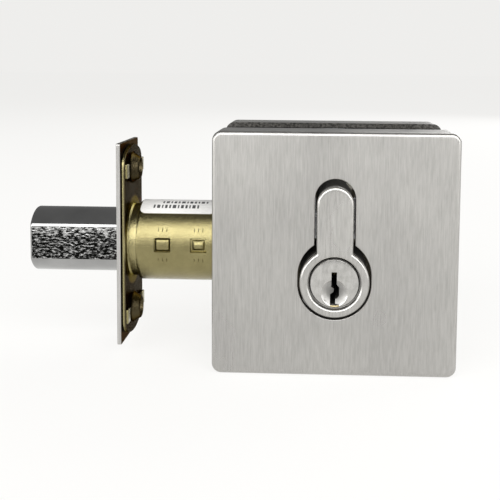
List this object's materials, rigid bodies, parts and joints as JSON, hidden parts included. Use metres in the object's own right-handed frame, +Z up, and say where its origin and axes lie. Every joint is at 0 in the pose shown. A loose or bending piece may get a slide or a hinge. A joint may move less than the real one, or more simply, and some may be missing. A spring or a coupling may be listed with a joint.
{
  "type": "deadbolt door lock",
  "caption": "Tubular deadbolt with square satin nickel roses, a profile key cylinder outside, a thumbturn inside, and a round bolt with flats thrown through a latch faceplate.",
  "frame": {"origin": "where the bolt's axis meets the line through the hub, midway between the two roses (the centre of the door's cross bore)", "axes": "-X is the way the bolt shoots, +X away from the door's edge; -Y is outside the door and +Y inside, along the key's axis; +Z is up, with the cylinder's pin housing above its plug"},
  "size_m": [0.1195, 0.0744, 0.065],
  "materials": {
    "satin_nickel": "satin nickel plate, brushed vertically",
    "polished_chrome": "polished chrome plate on brass",
    "yellow_zinc": "yellow passivated zinc on pressed steel, semi-gloss",
    "dark_zinc": "dull zinc plated pressed steel",
    "zinc_steel": "bright zinc plated steel",
    "brass": "machined brass, semi-gloss",
    "spring_steel": "hardened steel, oiled",
    "label_paper": "smooth silver-grey paper label",
    "black_nylon": "matt black nylon"
  },
  "bodies": {
    "lock": {"exterior_rose": "satin_nickel", "interior_rose": "satin_nickel", "cylinder_clamp_left": "zinc_steel", "cylinder_clamp_right": "zinc_steel", "clamp_screw_left": "zinc_steel", "clamp_screw_right": "zinc_steel", "cylinder_body": "satin_nickel", "chamber_cover": "brass", "driver_pin_1": "brass", "driver_pin_2": "brass", "driver_pin_3": "brass", "driver_pin_4": "brass", "driver_pin_5": "brass", "pin_spring_1": "spring_steel", "pin_spring_2": "spring_steel", "pin_spring_3": "spring_steel", "pin_spring_4": "spring_steel", "pin_spring_5": "spring_steel", "faceplate": "satin_nickel", "backing_plate": "yellow_zinc", "faceplate_tab_front_lower": "yellow_zinc", "faceplate_tab_front_upper": "yellow_zinc", "faceplate_tab_rear_lower": "yellow_zinc", "faceplate_tab_rear_upper": "yellow_zinc", "latch_tube": "yellow_zinc", "inner_sleeve": "yellow_zinc", "tube_label": "label_paper", "case_front": "dark_zinc", "case_rear": "dark_zinc", "case_rivet_1": "zinc_steel", "case_rivet_2": "zinc_steel", "detent_spring": "spring_steel", "fixing_post_upper": "zinc_steel", "fixing_post_lower": "zinc_steel", "fixing_screw_upper": "zinc_steel", "fixing_screw_lower": "zinc_steel", "interior_plate": "zinc_steel", "rose_grub_screw": "zinc_steel", "turn_washer": "black_nylon"},
    "key_plug": {"plug": "satin_nickel", "plug_circlip": "spring_steel", "tailpiece": "zinc_steel", "key_pin_1": "brass", "key_pin_2": "brass", "key_pin_3": "brass", "key_pin_4": "brass", "key_pin_5": "brass"},
    "hub_crank": {"hub": "brass", "crank_arm": "zinc_steel", "crank_pin": "zinc_steel"},
    "turn_knob": {"thumbturn": "satin_nickel", "turn_spindle": "zinc_steel", "turn_circlip": "spring_steel"},
    "bolt_bar": {"bolt": "polished_chrome", "anti_saw_pin": "spring_steel", "bolt_tail": "zinc_steel", "bolt_rivet": "zinc_steel"}
  },
  "joints": [
    {"name": "bolt_slide", "type": "slide", "parent": "lock", "child": "bolt_bar", "axis": [1, 0, 0], "range_m": [0, 0.026]},
    {"name": "thumb_turn", "type": "hinge", "parent": "lock", "child": "turn_knob", "pos_m": [0, 0, -0.0056], "axis": [0, 1, 0], "range_deg": [0, 90]},
    {"name": "hub_turn", "type": "hinge", "parent": "lock", "child": "hub_crank", "pos_m": [0, 0, -0.0056], "axis": [0, 1, 0], "range_deg": [0, 90]},
    {"name": "plug_turn", "type": "hinge", "parent": "lock", "child": "key_plug", "pos_m": [0, 0, -0.0056], "axis": [0, 1, 0], "range_deg": [0, 90]}
  ],
  "couplings": [
    {"joint": "thumb_turn", "follows": "bolt_slide", "rad_per_m": 60.41},
    {"joint": "hub_turn", "follows": "bolt_slide", "rad_per_m": 60.41},
    {"joint": "plug_turn", "follows": "bolt_slide", "rad_per_m": 60.41}
  ]
}
